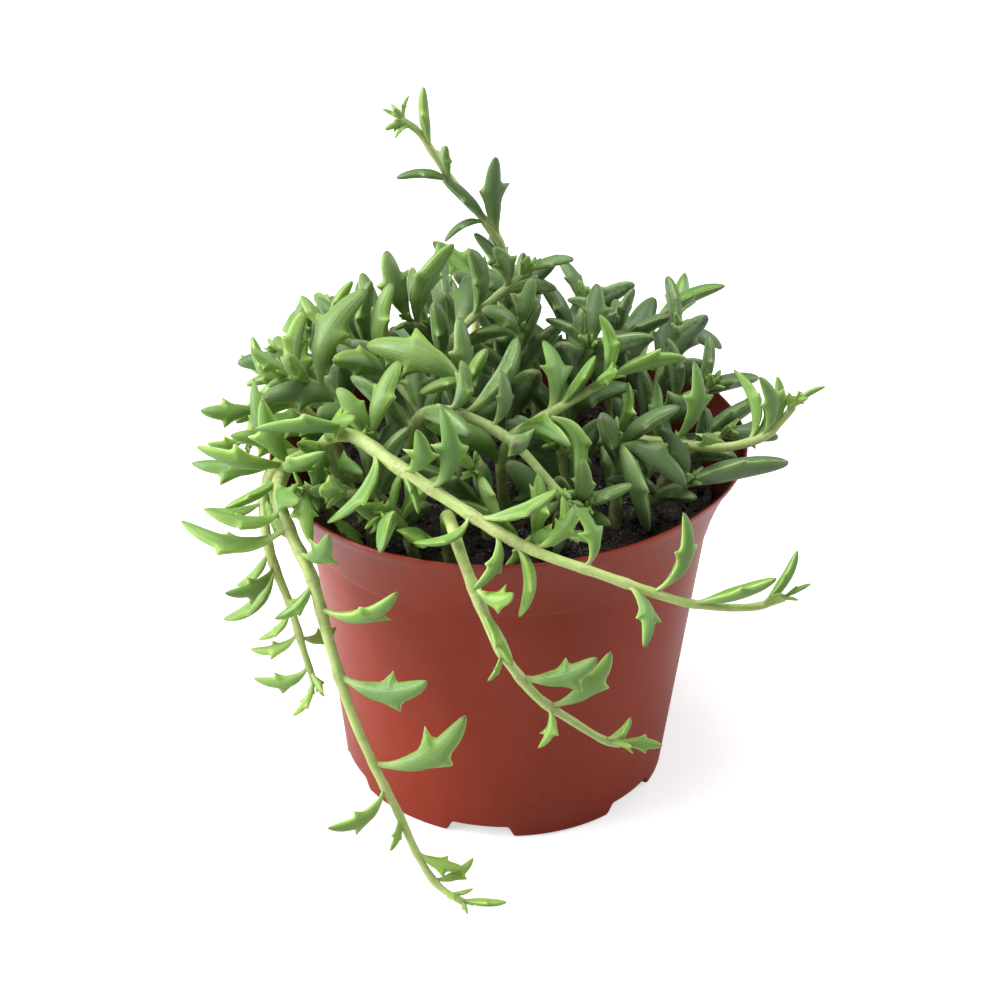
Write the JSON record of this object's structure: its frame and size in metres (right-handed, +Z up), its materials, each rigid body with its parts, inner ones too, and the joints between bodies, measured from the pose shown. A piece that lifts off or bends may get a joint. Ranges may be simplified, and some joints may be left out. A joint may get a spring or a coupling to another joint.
{
  "type": "potted senecio",
  "caption": "Trailing senecio succulent with fleshy finned leaves on thick stems, rooted in peat in a thin tapered plastic nursery pot.",
  "frame": {"origin": "on the pot's axis, at the flat underside of its floor", "axes": "+Z up along the pot's axis; the front that the picture shows faces -Y, and +X is to its right"},
  "size_m": [0.1565, 0.17, 0.1869],
  "materials": {
    "pot_plastic": "satin",
    "peat": "matte",
    "young_leaf": "satin",
    "old_leaf": "satin"
  },
  "bodies": {
    "root": {"pot": "pot_plastic", "soil": "peat", "stem_back_left_trail": "young_leaf", "stem_back_right_trail": "young_leaf", "stem_back_trail": "young_leaf", "stem_centre_over": "old_leaf", "stem_centre_right": "young_leaf", "stem_front_left_low": "young_leaf", "stem_front_low": "young_leaf", "stem_front_right_trail": "young_leaf", "stem_front_trail": "young_leaf", "stem_left": "young_leaf", "stem_left_low": "young_leaf", "stem_left_short_trail": "young_leaf", "stem_left_trail": "young_leaf", "stem_mound_01": "old_leaf", "stem_mound_02": "old_leaf", "stem_mound_03": "old_leaf", "stem_mound_04": "old_leaf", "stem_mound_05": "old_leaf", "stem_mound_06": "old_leaf", "stem_mound_07": "old_leaf", "stem_mound_08": "old_leaf", "stem_mound_09": "old_leaf", "stem_mound_10": "old_leaf", "stem_mound_11": "old_leaf", "stem_mound_12": "old_leaf", "stem_mound_13": "old_leaf", "stem_mound_14": "old_leaf", "stem_mound_15": "old_leaf", "stem_mound_16": "old_leaf", "stem_mound_17": "old_leaf", "stem_mound_18": "old_leaf", "stem_mound_19": "old_leaf", "stem_mound_20": "old_leaf", "stem_mound_21": "old_leaf", "stem_mound_22": "old_leaf", "stem_mound_23": "old_leaf", "stem_mound_24": "old_leaf", "stem_right": "young_leaf", "stem_right_low": "old_leaf", "stem_top": "old_leaf", "stem_top_left": "old_leaf"}
  },
  "joints": []
}
